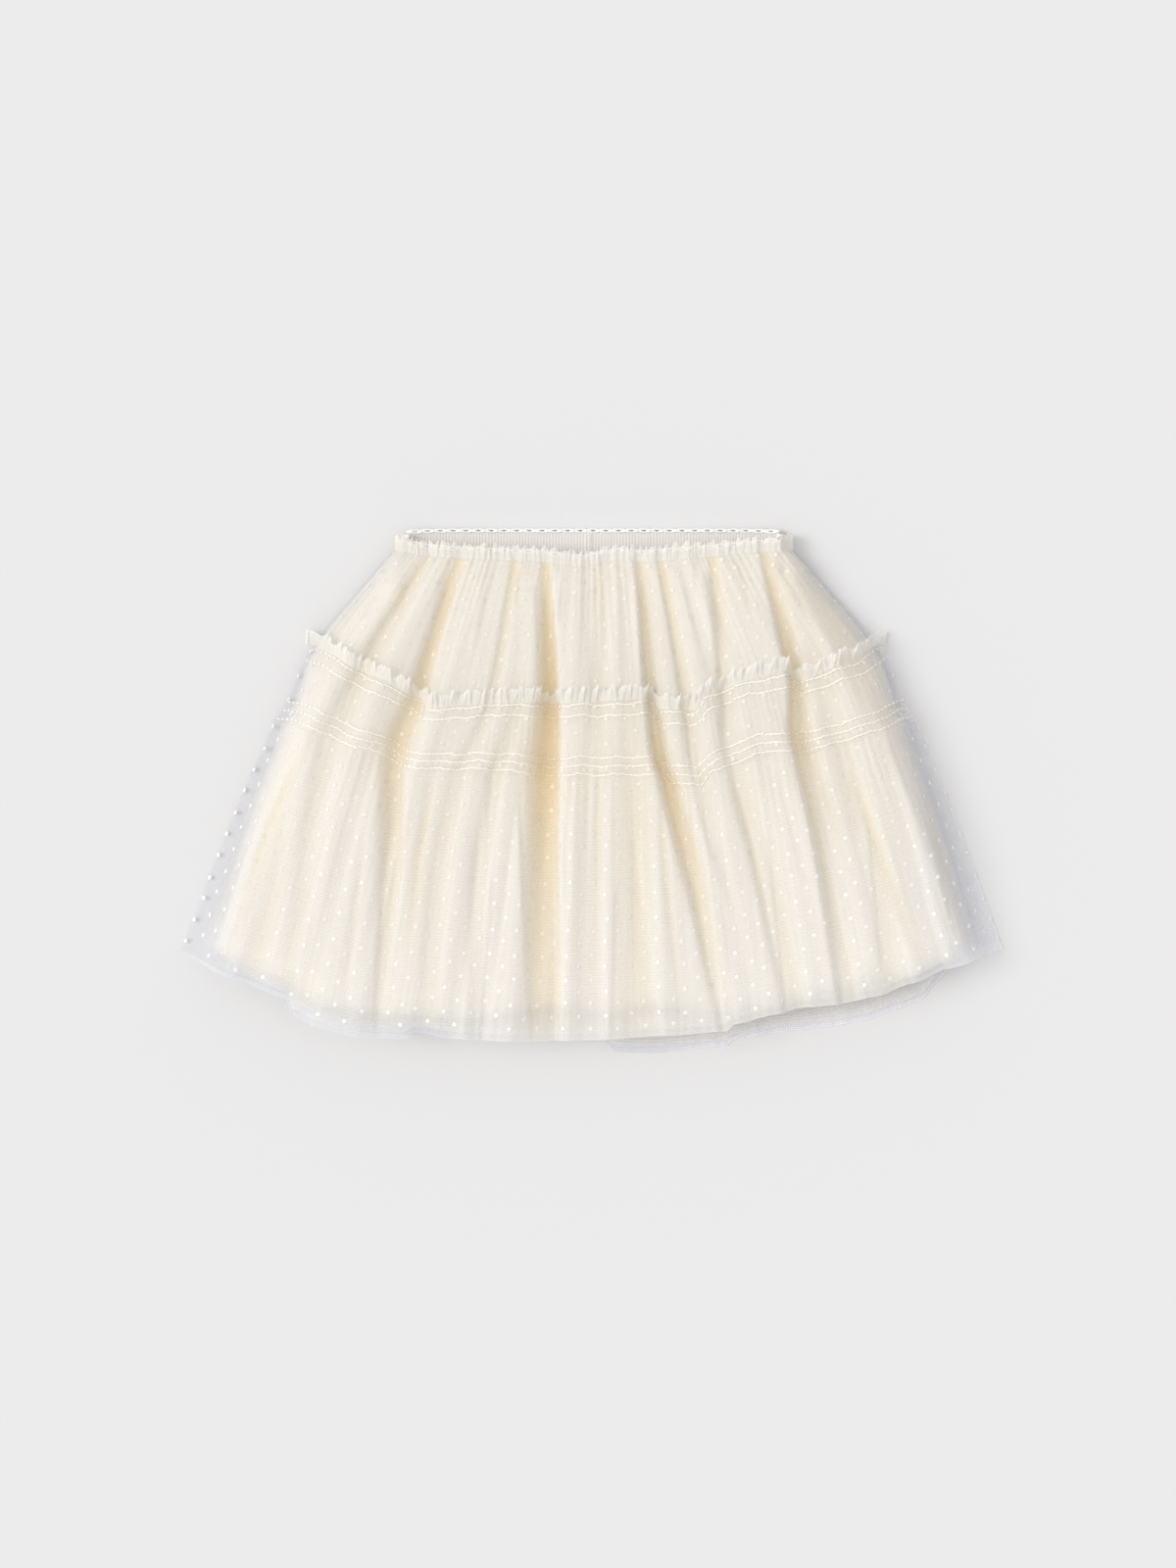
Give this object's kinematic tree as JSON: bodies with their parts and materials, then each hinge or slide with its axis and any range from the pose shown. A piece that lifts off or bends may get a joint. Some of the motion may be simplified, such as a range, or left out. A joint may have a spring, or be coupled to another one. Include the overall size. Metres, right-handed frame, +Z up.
{
  "type": "tulle skirt",
  "caption": "Child's tulle skirt laid flat: elastic waist with a frill, gathered upper tier, shirred band under a standing frill, flared lower tier, underskirt and lining.",
  "frame": {"origin": "middle of the skirt's footprint on the surface that it lies on, back down", "axes": "+Z up off the surface, +Y towards the waist, +X towards the right-hand side edge seen from above the front"},
  "size_m": [0.507, 0.3239, 0.0439],
  "materials": {
    "tulle": "sheer dotted net, soft matt sheen",
    "elastic": "finely ribbed soft elastic, matt",
    "underskirt": "sheer plain net, matt",
    "lining": "thin opaque woven lining, matt"
  },
  "bodies": {
    "root": {"waist_elastic": "elastic", "waist_frill": "tulle", "upper_tier_front": "tulle", "upper_tier_back": "tulle", "tier_frill_front": "tulle", "tier_frill_back": "tulle", "shirred_band_front": "tulle", "shirred_band_back": "tulle", "lower_tier_front": "tulle", "lower_tier_back": "tulle", "underskirt_front": "underskirt", "underskirt_back": "underskirt", "lining_front": "lining", "lining_back": "lining"}
  },
  "joints": []
}
